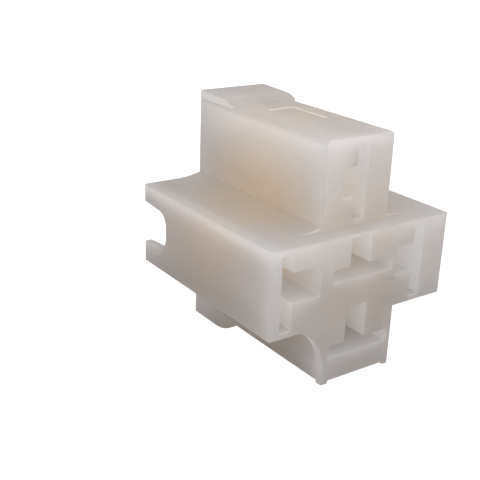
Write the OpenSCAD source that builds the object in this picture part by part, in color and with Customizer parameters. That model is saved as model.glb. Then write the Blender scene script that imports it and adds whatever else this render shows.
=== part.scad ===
// Cross-shaped moulded housing for five 6.3 mm receptacle terminals, in the pattern of a
// five-blade relay. X runs across the wings, Y from the mating face to the wire end, Z up.
// It is built round the middle of the wings on the mating face, and then moved so that the
// zero is under its middle, at the level of the lower pad that it stands on.

/* [Outline] */
// Width across the two side wings
wing_span = 22; // [21.5:0.1:26]
// Height of the side wings
wing_height = 8.9; // [8.7:0.1:9.5]
// Length of the housing from the mating face to the wire end
body_length = 23; // [19:0.5:30]
// Width of the upper block
top_width = 8.4; // [7.6:0.1:9]
// Height of the upper block's roof above the middle of the wings
top_reach = 13.25; // [13.15:0.05:16]
// How far the upper block's face stands back from the mating face
top_setback = 1.8; // [0.2:0.1:2.2]
// Width of the lower block
bottom_width = 8.9; // [8.7:0.1:10]
// Depth of the lower block's underside below the middle of the wings
bottom_reach = 10.7; // [9.5:0.05:13]
// Shift of both blocks to the right of the middle of the wings
block_shift = 0.1; // [0:0.05:0.3]
// Rounding on the outer edges
edge_round = 0.2; // [0.1:0.05:0.4]
// Rounding on the long upper edges of the upper block
roof_round = 0.8; // [0.5:0.1:1.2]
// Width of the hollow ramp where each wing meets the upper block
ramp_width = 3; // [1:0.1:4]
// Height of that ramp at the block
ramp_rise = 0.4; // [0.1:0.05:0.8]

/* [Rear pads] */
// Height of the pad on the upper block at the wire end
top_pad_height = 0.65; // [0.4:0.05:1.2]
// Fall of the upper pad's surface towards its front
top_pad_fall = 0.15; // [0.05:0.05:0.3]
// Length of the upper pad
top_pad_length = 5.9; // [4:0.1:9]
// Radius of the upper pad's front end
top_pad_radius = 3.5; // [2:0.1:6]
// Height of the pad under the lower block at the wire end
bottom_pad_height = 1.55; // [0.5:0.05:2.5]
// Length of the lower pad
bottom_pad_length = 8.2; // [6:0.1:10]
// Radius of the lower pad's front end
bottom_pad_radius = 5.4; // [3:0.1:8]
// Width of the two rails along the underside of the lower block
rail_width = 0.8; // [0.5:0.1:2]
// Height of the two rails
rail_height = 0.15; // [0.1:0.05:0.4]
// Length of the foot at the front of each rail
foot_length = 0.8; // [0.5:0.1:2]
// Height of the feet below the rails
foot_height = 0.15; // [0.1:0.05:0.4]

/* [Web and roof recess] */
// Thickness of the web between the left wing and the lower block, flush with the mating face
web_thickness = 1; // [0.6:0.1:2]
// Radius of the web's hollow edge
web_radius = 5.5; // [5:0.1:5.8]
// Depth below the wing at which the hollow edge runs out along the block's side
web_drop = 4.8; // [3:0.1:4.9]
// Width of the shallow recess in the roof
recess_width = 3.2; // [2:0.1:5]
// Length of the recess
recess_length = 5.5; // [3:0.1:7]
// Distance of the recess from the mating face
recess_place = 8.7; // [6:0.1:8.9]
// Depth of the recess
recess_depth = 0.12; // [0.05:0.01:0.2]

/* [Wing notches] */
// Length of the notch in the outer wall of each wing
notch_length = 4.55; // [2.5:0.05:7]
// Height of the notch at its closed end
notch_height = 4.2; // [3.6:0.1:6]
// Height of the notch's middle above the middle of the wings
notch_lift = 0.2; // [0:0.05:0.3]
// Widening of the notch at the wire end, above and below
notch_flare = 0.3; // [0.05:0.05:0.5]
// Radius of the notch's corners
notch_radius = 1.5; // [0.3:0.1:1.7]

/* [Terminal cavities] */
// Width of the channel for a terminal's body
channel_width = 7.8; // [7.6:0.05:7.9]
// Height of the channel for a terminal's body
channel_height = 2.5; // [2.2:0.05:2.6]
// Width of the channel for the crimped barrel
crimp_width = 3.6; // [3:0.1:4.2]
// Height of the crimp channel above the channel's base
crimp_reach = 3.7; // [3.2:0.05:3.8]
// Length of the blade slot in the mating face
slot_length = 7.5; // [6.8:0.1:7.6]
// Thickness of the blade slot
slot_thickness = 1.35; // [1:0.05:1.6]
// Height of the blade slot's edge above the channel's base
slot_lift = 0.25; // [0.1:0.05:0.4]
// Thickness of the front wall that the blade slots pass through
front_wall = 2.6; // [1.5:0.1:4]
// Length of the release window from the mating face to the locking shoulder
window_length = 6.6; // [5:0.1:8]
// Length of the locking shoulder that a terminal's lance catches behind
shoulder_length = 1.8; // [1:0.1:3]

/* [Cavity places] */
// Outer wall beside the left cavity's base
left_wall = 0.85; // [0.6:0.05:1]
// Outer wall beside the right cavity's base
right_wall = 2.95; // [2.6:0.05:3.1]
// Floor under the lower cavity's base
bottom_floor = 2.35; // [1:0.05:2.6]
// Depth of the middle cavity's base below the middle of the wings
middle_drop = 0.45; // [0.2:0.05:0.6]
// Wall between the upper cavity and the roof
roof_wall = 0.55; // [0.4:0.05:0.65]
// Distance of the upper cavity's base to the right of the middle
top_base = 1.35; // [0.8:0.05:1.8]

/* [Release windows] */
// Width of the windows in the wings
wing_window_width = 3; // [2.4:0.1:3.4]
// Width of the windows in the middle and the blocks
block_window_width = 2.5; // [2.2:0.1:3.2]
// Shift of the windows towards the upper left
window_shift = 0.5; // [0:0.1:0.7]
// Reach of the left window from its cavity's base
left_window = 4.85; // [4:0.05:5]
// Reach of the right window from its cavity's base
right_window = 3.85; // [3.4:0.05:3.9]
// Reach of the lower window from its cavity's base
bottom_window = 5.3; // [4:0.05:5.6]
// Reach of the middle window from its cavity's base
middle_window = 4.45; // [3.8:0.05:4.7]
// Reach of the upper window from its cavity's base
top_window = 3.15; // [2.8:0.05:4]

/* [Hidden] */
$fn = 48;
nylon = "#d8d0c4";
half_span = wing_span / 2;
half_wing = wing_height / 2;
// Overrun of a cut past the face that it opens
run_out = 1;
// How far the blocks reach into each other, so that they join as one solid
bond = 2;

// A rectangle from (x0, y0) to (x1, y1) with its own radius on the lower and upper corners.
module rounded_rectangle(x0, x1, y0, y1, low, high) {
    for (x = [x0 + low, x1 - low])
        translate([x, y0 + low]) circle(r = low);
    for (x = [x0 + high, x1 - high])
        translate([x, y1 - high]) circle(r = high);
    translate([x0, y0 + low]) square([x1 - x0, y1 - y0 - low - high]);
    translate([x0 + low, y0]) square([x1 - x0 - 2 * low, low]);
    translate([x0 + high, y1 - high]) square([x1 - x0 - 2 * high, high]);
}

// Pushes an X-Z profile along Y from one place to another.
module along_y(from, to) {
    translate([0, to, 0]) rotate([90, 0, 0]) linear_extrude(to - from) children();
}

// Pushes a Y-Z profile along X from one place to another.
module along_x(from, to) {
    translate([from, 0, 0]) rotate([90, 0, 90]) linear_extrude(to - from) children();
}

// A block with rounded edges all round, and its own radius along its upper edges.
module rounded_block(x0, x1, y0, y1, z0, z1, roof = edge_round) {
    intersection() {
        along_y(y0, y1) rounded_rectangle(x0, x1, z0, z1, edge_round, roof);
        along_x(x0, x1) rounded_rectangle(y0, y1, z0, z1, edge_round, edge_round);
        translate([0, 0, z0]) linear_extrude(z1 - z0)
            rounded_rectangle(x0, x1, y0, y1, edge_round, edge_round);
    }
}

module wings() {
    rounded_block(-half_span, half_span, 0, body_length, -half_wing, half_wing);
}

module top_block() {
    difference() {
        rounded_block(-top_width / 2, top_width / 2, top_setback, body_length, -bond,
            top_reach, roof_round);
        translate([-recess_width / 2, recess_place, top_reach - recess_depth])
            cube([recess_width, recess_length, recess_depth + run_out]);
    }
}

module bottom_block() {
    difference() {
        rounded_block(-bottom_width / 2, bottom_width / 2, 0, body_length, -bottom_reach, bond);
        // The underside is hollow between its two rails.
        translate([rail_width - bottom_width / 2, -run_out, -bottom_reach - run_out])
            cube([bottom_width - 2 * rail_width, body_length - bottom_pad_length + run_out,
                rail_height + run_out]);
    }
}

// The foot at the front of one rail, with the same rounded corner as the block.
module foot() {
    intersection() {
        translate([-bottom_width / 2, 0, -bottom_reach - foot_height])
            cube([rail_width, foot_length, foot_height + bond]);
        translate([0, 0, -bottom_reach - foot_height]) linear_extrude(foot_height + bond)
            rounded_rectangle(-bottom_width / 2, bottom_width / 2, 0, body_length,
                edge_round, edge_round);
    }
}

// Web in the corner under the left wing: its hollow edge runs out along the block's side.
module web() {
    along_y(0, web_thickness)
        translate([-bottom_width / 2 - web_radius, -half_wing - web_drop])
            difference() {
                square([web_radius + edge_round, web_drop + edge_round]);
                circle(r = web_radius, $fn = 180);
            }
}

// Hollow ramp from the wing's upper face to the upper block's side, on the right.
module wing_ramp() {
    radius = (ramp_width * ramp_width + ramp_rise * ramp_rise) / (2 * ramp_rise);
    along_y(top_setback + edge_round, body_length - edge_round)
        difference() {
            translate([top_width / 2 - edge_round, half_wing - edge_round])
                square([ramp_width + edge_round, ramp_rise + edge_round]);
            translate([top_width / 2 + ramp_width, half_wing + radius])
                circle(r = radius, $fn = 180);
        }
}

// Side view of a pad: level at the wire end and round at its front. It lies on the line of
// height 0, and its surface falls from its full height before the round end begins.
module pad_profile(height, fall, length, radius) {
    front = body_length - length;
    nose = height - fall;
    // The round end is as long as the radius needs to come down to the block.
    run = sqrt(radius * radius - (radius - nose) * (radius - nose));
    intersection() {
        translate([front + run, nose - radius]) circle(r = radius, $fn = 120);
        translate([front, -edge_round]) square([run, nose + edge_round]);
    }
    polygon([[front + run, -edge_round], [body_length, -edge_round], [body_length, height],
        [front + run, nose]]);
}

// A pad across a block: its side view pushed across, with the block's rounded rear corners.
module pad(width, height, fall, length, radius) {
    intersection() {
        along_x(-width / 2, width / 2) pad_profile(height, fall, length, radius);
        translate([0, 0, -edge_round - run_out]) linear_extrude(height + 2 * run_out)
            rounded_rectangle(-width / 2, width / 2, 0, body_length, edge_round, edge_round);
    }
}

// Side view of the notch: a U with rounded corners that opens towards the wire end.
module notch_profile() {
    closed_end = body_length - notch_length;
    half = notch_height / 2;
    for (side = [-1, 1])
        translate([closed_end + notch_radius, side * (half - notch_radius)])
            circle(r = notch_radius);
    translate([closed_end, notch_radius - half])
        square([notch_length, notch_height - 2 * notch_radius]);
    polygon([[closed_end + notch_radius, -half], [body_length + run_out, -half - notch_flare],
        [body_length + run_out, half + notch_flare], [closed_end + notch_radius, half]]);
}

// One cavity, with the terminal's base on the X-Y plane and its middle at X = 0. The body and
// the crimp come in from the wire end; the blade slot and the release window open in front.
module cavity(window_width, shift, reach, face = 0) {
    rear = body_length + run_out;
    shoulder_end = window_length + shoulder_length;
    translate([-channel_width / 2, front_wall, 0])
        cube([channel_width, rear - front_wall, channel_height]);
    translate([-crimp_width / 2, shoulder_end, 0])
        cube([crimp_width, rear - shoulder_end, crimp_reach]);
    translate([-slot_length / 2, face - run_out, slot_lift])
        cube([slot_length, front_wall - face + 2 * run_out, slot_thickness]);
    translate([shift - window_width / 2, face - run_out, slot_lift + slot_thickness / 2])
        cube([window_width, window_length - face + run_out,
            reach - slot_lift - slot_thickness / 2]);
}

// The five cavities, each turned so that its base lies on its outer side.
module cavities() {
    translate([left_wall - half_span, 0, 0]) rotate([0, 90, 0])
        cavity(wing_window_width, -window_shift, left_window);
    translate([half_span - right_wall, 0, 0]) rotate([0, -90, 0])
        cavity(wing_window_width, window_shift, right_window);
    translate([0, 0, bottom_floor - bottom_reach])
        cavity(block_window_width, -window_shift, bottom_window);
    translate([0, 0, -middle_drop])
        cavity(block_window_width, -window_shift, middle_window);
    translate([top_base, 0, top_reach - roof_wall - channel_width / 2]) rotate([0, -90, 0])
        cavity(wing_window_width, 0, top_window, top_setback);
}

// The notches cut each wing's outer wall down to its cavity.
module notches() {
    translate([0, 0, notch_lift]) {
        along_x(-half_span - run_out, left_wall - half_span + run_out) notch_profile();
        along_x(half_span - right_wall - run_out, half_span + run_out) notch_profile();
    }
}

// Both blocks with what they carry.
module blocks() {
    top_block();
    translate([0, 0, top_reach])
        pad(top_width, top_pad_height, top_pad_fall, top_pad_length, top_pad_radius);
    bottom_block();
    translate([0, 0, -bottom_reach]) mirror([0, 0, 1])
        pad(bottom_width, bottom_pad_height, 0, bottom_pad_length, bottom_pad_radius);
    web();
    for (side = [0, 1])
        mirror([side, 0, 0]) {
            wing_ramp();
            foot();
        }
}

module housing() {
    color(nylon)
        translate([0, -body_length / 2, bottom_reach + bottom_pad_height])
            difference() {
                union() {
                    wings();
                    translate([block_shift, 0, 0]) blocks();
                }
                cavities();
                notches();
            }
}

housing();
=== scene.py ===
"""Dresses the moulded relay socket housing: its nylon finish, the stage and the view."""

import math

import bmesh
import bpy
from bpy.props import FloatProperty, FloatVectorProperty, PointerProperty
from mathutils import Matrix, Vector


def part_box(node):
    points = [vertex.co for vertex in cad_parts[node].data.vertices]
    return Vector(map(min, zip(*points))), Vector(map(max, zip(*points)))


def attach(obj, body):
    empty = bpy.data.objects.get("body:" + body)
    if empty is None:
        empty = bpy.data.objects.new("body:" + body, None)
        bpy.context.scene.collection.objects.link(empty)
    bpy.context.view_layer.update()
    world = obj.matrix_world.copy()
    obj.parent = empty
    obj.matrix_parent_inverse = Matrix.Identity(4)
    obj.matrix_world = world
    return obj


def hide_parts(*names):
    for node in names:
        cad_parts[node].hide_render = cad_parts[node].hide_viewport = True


bl_info = {
    "name": "Relay Socket Housing",
    "version": (1, 0, 0),
    "blender": (4, 5, 0),
    "location": "View3D > Sidebar > Housing",
    "description": "Finishes a moulded nylon relay socket housing and sets up its stage",
    "category": "Add Mesh",
}

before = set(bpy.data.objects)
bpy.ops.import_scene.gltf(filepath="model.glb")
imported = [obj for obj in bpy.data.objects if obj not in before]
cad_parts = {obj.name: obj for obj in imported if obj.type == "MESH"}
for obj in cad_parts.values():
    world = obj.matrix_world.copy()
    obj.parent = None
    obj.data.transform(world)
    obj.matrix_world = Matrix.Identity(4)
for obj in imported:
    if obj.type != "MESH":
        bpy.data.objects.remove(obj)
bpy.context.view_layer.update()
MILLIMETRE = 0.001
# Direction of the soft lamp, from the housing's middle
KEY_DIRECTION = (-0.5, -0.8, 1.5)
# Noise scales, in repeats per metre: drifting clouds, shallow waves and fine grain
CLOUD_SCALE = 170.0
WAVE_SCALE = 420.0
GRAIN_SCALE = 5200.0
# Reach of the warmer core, as a share of the housing's half size; the warmer core is partly nylon's
# own tint and partly painted glow of light through the thick middle
TINT_AND_GLOW_REACH = 1.15
# Depths of the waves and the grain in the skin
WAVE_DEPTH = 0.12 * MILLIMETRE
GRAIN_DEPTH = 0.02 * MILLIMETRE
NYLON_IOR = 1.53
# Vertices closer than this are one
WELD_DISTANCE = 0.001 * MILLIMETRE
# Faces that turn by less than this are one flat face
FLAT_ANGLE = math.radians(0.5)
# A surface that turns by more than this keeps a hard edge
HARD_ANGLE = math.radians(40)
FLOOR_REACH = 1.5
SENSOR_WIDTH = 36


class MouldingSettings(bpy.types.PropertyGroup):
    """Sizes and colours of the moulded housing."""

    mouth_round: FloatProperty(
        name="Mouth rounding",
        description="Radius that softens the rims of the slots, windows and channels",
        default=0.12 * MILLIMETRE,
        min=0.02 * MILLIMETRE,
        max=0.2 * MILLIMETRE,
        precision=5,
        unit="LENGTH",
    )
    rim_angle: FloatProperty(
        name="Rim angle",
        description="Least angle between two faces for their edge to count as a rim",
        default=math.radians(35),
        subtype="ANGLE",
    )
    # Colour towards the housing's outside; the mix with the warmer colour goes by distance from the
    # middle, not by wall thickness
    milk_colour: FloatVectorProperty(
        name="Milk colour",
        description="Colour of the thin walls of natural nylon",
        default=(0.865, 0.85, 0.845),
        subtype="COLOR",
        min=0,
        max=1,
    )
    # Colour mixed in towards the housing's middle: partly nylon's own warmer tint, partly painted
    # glow of light through the thick moulding
    core_tint_and_glow_colour: FloatVectorProperty(
        name="Warm colour",
        description="Colour of natural nylon where the moulding is thick",
        default=(0.955, 0.89, 0.805),
        subtype="COLOR",
        min=0,
        max=1,
    )
    glow_depth: FloatProperty(
        name="Glow depth",
        description="How far light travels inside the nylon",
        default=0.5 * MILLIMETRE,
        precision=5,
        unit="LENGTH",
    )
    translucency: FloatProperty(
        name="Translucency",
        description="Share of the light that passes through the walls as a haze",
        default=0.88,
        min=0,
        max=1,
        subtype="FACTOR",
    )
    gloss: FloatProperty(
        name="Roughness",
        description="Roughness of the satin surface",
        default=0.42,
        min=0,
        max=1,
        subtype="FACTOR",
    )


class StageSettings(bpy.types.PropertyGroup):
    """Floor, lamps and point of view."""

    floor_colour: FloatVectorProperty(
        name="Floor colour",
        description="Colour of the pale floor",
        default=(0.6, 0.6, 0.6),
        subtype="COLOR",
        min=0,
        max=1,
    )
    room_light: FloatProperty(
        name="Room light",
        description="Strength of the even light from all round",
        default=0.42,
    )
    key_power: FloatProperty(
        name="Key power",
        description="Power of the soft lamp above the camera",
        default=0.038,
        unit="POWER",
    )
    key_distance: FloatProperty(
        name="Key distance",
        description="From the soft lamp to the housing's middle",
        default=90 * MILLIMETRE,
        unit="LENGTH",
    )
    key_size: FloatProperty(
        name="Key size",
        description="Side of the soft lamp's square",
        default=80 * MILLIMETRE,
        unit="LENGTH",
    )
    azimuth: FloatProperty(
        name="Azimuth",
        description="Direction that the camera looks from, round the housing",
        default=math.radians(-35.57),
        subtype="ANGLE",
    )
    elevation: FloatProperty(
        name="Elevation",
        description="Height of the camera above the level, as an angle",
        default=math.radians(21.06),
        subtype="ANGLE",
    )
    roll: FloatProperty(
        name="Roll",
        description="Turn of the camera about its own line of sight",
        default=math.radians(2.04),
        subtype="ANGLE",
    )
    distance: FloatProperty(
        name="Distance",
        description="From the camera to the point that it looks at",
        default=90.24 * MILLIMETRE,
        unit="LENGTH",
    )
    aim: FloatVectorProperty(
        name="Aim",
        description="Point that the camera looks at",
        default=(-4.46 * MILLIMETRE, 2.69 * MILLIMETRE, 11.87 * MILLIMETRE),
        subtype="TRANSLATION",
        unit="LENGTH",
    )
    lens: FloatProperty(
        name="Lens",
        description="Focal length in millimetres on a 36 mm sensor",
        default=64.2,
    )


def link_object(name, data):
    """Puts a new object with this data into the scene."""
    made = bpy.data.objects.new(name, data)
    bpy.context.scene.collection.objects.link(made)
    return made


def new_material(name):
    """Returns an empty node material and its tree."""
    material = bpy.data.materials.new(name)
    material.use_nodes = True
    material.node_tree.nodes.clear()
    return material, material.node_tree


def add_node(tree, kind, inputs=None, **settings):
    """Adds a node, sets its properties and fills or links its inputs."""
    node = tree.nodes.new(kind)
    for key, value in settings.items():
        setattr(node, key, value)
    for socket, value in (inputs or {}).items():
        if isinstance(value, bpy.types.NodeSocket):
            tree.links.new(value, node.inputs[socket])
        else:
            node.inputs[socket].default_value = value
    return node


def rgba(colour):
    """A colour with full alpha."""
    return (*colour, 1.0)


def nylon_material(settings):
    """Natural nylon: milky towards its outside, warmer towards its middle (partly its own tint,
    partly painted glow of light through the thick moulding), with a satin skin.
    """
    material, tree = new_material("natural_nylon")
    place = add_node(tree, "ShaderNodeTexCoord").outputs["Object"]
    low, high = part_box("housing")
    centre, reach = (low + high) / 2, TINT_AND_GLOW_REACH * (high - low) / 2

    cloud = add_node(
        tree,
        "ShaderNodeTexNoise",
        {"Vector": place, "Scale": CLOUD_SCALE, "Detail": 3.0, "Roughness": 0.55},
    )
    core = add_node(
        tree,
        "ShaderNodeMapping",
        {
            "Vector": place,
            "Location": [-c / r for c, r in zip(centre, reach)],
            "Scale": [1 / r for r in reach],
        },
    )
    # Spherical gradient from the housing's middle: the warmer core is partly nylon's own tint and
    # partly painted glow of light through the thick moulding
    tint_and_glow = add_node(
        tree, "ShaderNodeTexGradient", {"Vector": core.outputs["Vector"]}, gradient_type="SPHERICAL"
    )
    clouded = add_node(
        tree,
        "ShaderNodeMath",
        {0: cloud.outputs["Fac"], 1: 0.5, 2: tint_and_glow.outputs["Fac"]},
        operation="MULTIPLY_ADD",
    )
    share = add_node(
        tree,
        "ShaderNodeMapRange",
        {"Value": clouded.outputs["Value"], "From Min": 0.2, "From Max": 1.0},
        interpolation_type="SMOOTHSTEP",
    )
    colour = add_node(
        tree,
        "ShaderNodeMix",
        {
            "Factor": share.outputs["Result"],
            "A": rgba(settings.milk_colour),
            "B": rgba(settings.core_tint_and_glow_colour),
        },
        data_type="RGBA",
    )

    grain = add_node(
        tree,
        "ShaderNodeTexNoise",
        {"Vector": place, "Scale": GRAIN_SCALE, "Detail": 2.0, "Roughness": 0.5},
    )
    waves = add_node(
        tree,
        "ShaderNodeTexNoise",
        {"Vector": place, "Scale": WAVE_SCALE, "Detail": 1.0, "Roughness": 0.4},
    )
    skin = add_node(
        tree,
        "ShaderNodeBump",
        {"Height": waves.outputs["Fac"], "Strength": 0.25, "Distance": WAVE_DEPTH},
    )
    relief = add_node(
        tree,
        "ShaderNodeBump",
        {
            "Height": grain.outputs["Fac"],
            "Strength": 0.2,
            "Distance": GRAIN_DEPTH,
            "Normal": skin.outputs["Normal"],
        },
    )
    roughness = add_node(
        tree,
        "ShaderNodeMapRange",
        {
            "Value": waves.outputs["Fac"],
            "From Min": 0.3,
            "From Max": 0.7,
            "To Min": settings.gloss - 0.05,
            "To Max": settings.gloss + 0.07,
        },
    )
    shader = add_node(
        tree,
        "ShaderNodeBsdfPrincipled",
        {
            "Base Color": colour.outputs[2],
            "Roughness": roughness.outputs["Result"],
            "IOR": NYLON_IOR,
            "Subsurface Weight": 1.0,
            "Subsurface Radius": (1.0, 0.72, 0.5),
            "Subsurface Scale": settings.glow_depth,
            "Subsurface Anisotropy": 0.3,
            "Normal": relief.outputs["Normal"],
        },
        subsurface_method="RANDOM_WALK",
    )
    haze = add_node(tree, "ShaderNodeBsdfTranslucent", {"Color": colour.outputs[2]})
    both = add_node(
        tree,
        "ShaderNodeMixShader",
        {0: settings.translucency, 1: shader.outputs["BSDF"], 2: haze.outputs["BSDF"]},
    )
    add_node(tree, "ShaderNodeOutputMaterial", {"Surface": both.outputs["Shader"]})
    return material


def softened_copy(node, name, radius, rim_angle):
    """A copy of a CAD node's mesh as clean faces, with its sharp rims rounded."""
    work = bmesh.new()
    work.from_mesh(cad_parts[node].data)
    bmesh.ops.remove_doubles(work, verts=work.verts, dist=WELD_DISTANCE)
    bmesh.ops.dissolve_limit(
        work, angle_limit=FLAT_ANGLE, verts=work.verts, edges=work.edges
    )
    rims = [e for e in work.edges if e.is_manifold and e.calc_face_angle(0.0) > rim_angle]
    bmesh.ops.bevel(
        work,
        geom=rims,
        offset=radius,
        offset_type="OFFSET",
        affect="EDGES",
        segments=3,
        profile=0.5,
        material=-1,
        clamp_overlap=True,
    )
    mesh = bpy.data.meshes.new(name)
    work.to_mesh(mesh)
    work.free()
    return link_object(name, mesh)


def shade_by_angle(piece, angle):
    """Smooth faces, with a hard edge only where the surface really turns."""
    piece.data.shade_smooth()
    piece.data.set_sharp_from_angle(angle=angle)
    weighted = piece.modifiers.new("even_normals", "WEIGHTED_NORMAL")
    weighted.keep_sharp = True


class HOUSING_OT_moulding(bpy.types.Operator):
    """Make the moulded housing with softened rims and its natural nylon finish"""

    bl_idname = "relay_housing.moulding"
    bl_label = "Moulded Housing"

    def execute(self, context):
        settings = context.scene.housing_moulding
        piece = softened_copy("housing", "moulding", settings.mouth_round, settings.rim_angle)
        shade_by_angle(piece, HARD_ANGLE)
        piece.data.materials.append(nylon_material(settings))
        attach(piece, "root")
        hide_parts("housing")
        return {"FINISHED"}


def pale_floor(settings):
    """A wide floor that looks white to the camera and keeps the housing's shadow."""
    work = bmesh.new()
    bmesh.ops.create_grid(work, x_segments=1, y_segments=1, size=FLOOR_REACH)
    mesh = bpy.data.meshes.new("floor")
    work.to_mesh(mesh)
    work.free()
    floor = link_object("floor", mesh)
    material, tree = new_material("pale_floor")
    path = add_node(tree, "ShaderNodeLightPath")
    diffuse = add_node(
        tree, "ShaderNodeBsdfDiffuse", {"Color": rgba(settings.floor_colour)}
    )
    glow = add_node(
        tree,
        "ShaderNodeEmission",
        {"Color": rgba((1, 1, 1)), "Strength": path.outputs["Is Camera Ray"]},
    )
    both = add_node(tree, "ShaderNodeAddShader", {0: diffuse.outputs[0], 1: glow.outputs[0]})
    add_node(tree, "ShaderNodeOutputMaterial", {"Surface": both.outputs[0]})
    mesh.materials.append(material)
    return floor


def white_room(strength):
    """Even light from all round, with a plain white background."""
    world = bpy.data.worlds.new("white_room")
    world.use_nodes = True
    tree = world.node_tree
    tree.nodes.clear()
    path = add_node(tree, "ShaderNodeLightPath")
    direct = add_node(
        tree,
        "ShaderNodeMath",
        {0: path.outputs["Is Camera Ray"], 1: path.outputs["Is Transmission Ray"]},
        operation="MAXIMUM",
    )
    seen = add_node(
        tree,
        "ShaderNodeMath",
        {0: direct.outputs["Value"], 1: path.outputs["Is Glossy Ray"]},
        operation="MAXIMUM",
    )
    level = add_node(
        tree,
        "ShaderNodeMapRange",
        {"Value": seen.outputs["Value"], "To Min": strength, "To Max": 1.0},
    )
    sky = add_node(
        tree,
        "ShaderNodeBackground",
        {"Color": rgba((1, 1, 1)), "Strength": level.outputs["Result"]},
    )
    add_node(tree, "ShaderNodeOutputWorld", {"Surface": sky.outputs["Background"]})
    bpy.context.scene.world = world


def soft_lamp(settings):
    """A square lamp above the camera that faces the housing's middle."""
    lamp = bpy.data.lights.new("key", "AREA")
    lamp.size = settings.key_size
    lamp.energy = settings.key_power
    made = link_object("key", lamp)
    low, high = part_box("housing")
    aim = (low + high) / 2
    back = Vector(KEY_DIRECTION).normalized()
    made.matrix_world = Matrix.Translation(aim + back * settings.key_distance) @ (
        back.to_track_quat("Z", "Y").to_matrix().to_4x4()
    )


def add_camera(settings):
    """The camera at its azimuth, elevation and roll, aimed at its point."""
    data = bpy.data.cameras.new("camera")
    data.lens = settings.lens
    data.sensor_width = SENSOR_WIDTH
    data.clip_start = 1 * MILLIMETRE
    data.clip_end = 10
    camera = link_object("camera", data)
    level = math.cos(settings.elevation)
    back = Vector(
        (
            math.sin(settings.azimuth) * level,
            -math.cos(settings.azimuth) * level,
            math.sin(settings.elevation),
        )
    )
    turn = back.to_track_quat("Z", "Y").to_matrix().to_4x4()
    roll = Matrix.Rotation(settings.roll, 4, "Z")
    place = Matrix.Translation(Vector(settings.aim) + back * settings.distance)
    camera.matrix_world = place @ turn @ roll
    bpy.context.scene.camera = camera


class HOUSING_OT_stage(bpy.types.Operator):
    """Set the floor, the white room, the soft lamp and the camera"""

    bl_idname = "relay_housing.stage"
    bl_label = "Stage"

    def execute(self, context):
        settings = context.scene.housing_stage
        pale_floor(settings)
        white_room(settings.room_light)
        soft_lamp(settings)
        add_camera(settings)
        context.scene.view_settings.view_transform = "Standard"
        return {"FINISHED"}


class HOUSING_PT_panel(bpy.types.Panel):
    """Lists the housing's operators and settings"""

    bl_idname = "HOUSING_PT_panel"
    bl_label = "Relay Socket Housing"
    bl_space_type = "VIEW_3D"
    bl_region_type = "UI"
    bl_category = "Housing"

    def draw(self, context):
        layout = self.layout
        for operator, settings in (
            (HOUSING_OT_moulding, context.scene.housing_moulding),
            (HOUSING_OT_stage, context.scene.housing_stage),
        ):
            box = layout.box()
            box.operator(operator.bl_idname)
            for name in settings.__annotations__:
                box.prop(settings, name)


CLASSES = (
    MouldingSettings,
    StageSettings,
    HOUSING_OT_moulding,
    HOUSING_OT_stage,
    HOUSING_PT_panel,
)


def register():
    for cls in CLASSES:
        bpy.utils.register_class(cls)
    bpy.types.Scene.housing_moulding = PointerProperty(type=MouldingSettings)
    bpy.types.Scene.housing_stage = PointerProperty(type=StageSettings)


def unregister():
    del bpy.types.Scene.housing_stage
    del bpy.types.Scene.housing_moulding
    for cls in reversed(CLASSES):
        bpy.utils.unregister_class(cls)


def main():
    register()
    bpy.ops.relay_housing.moulding()
    bpy.ops.relay_housing.stage()


if __name__ == "__main__":
    main()
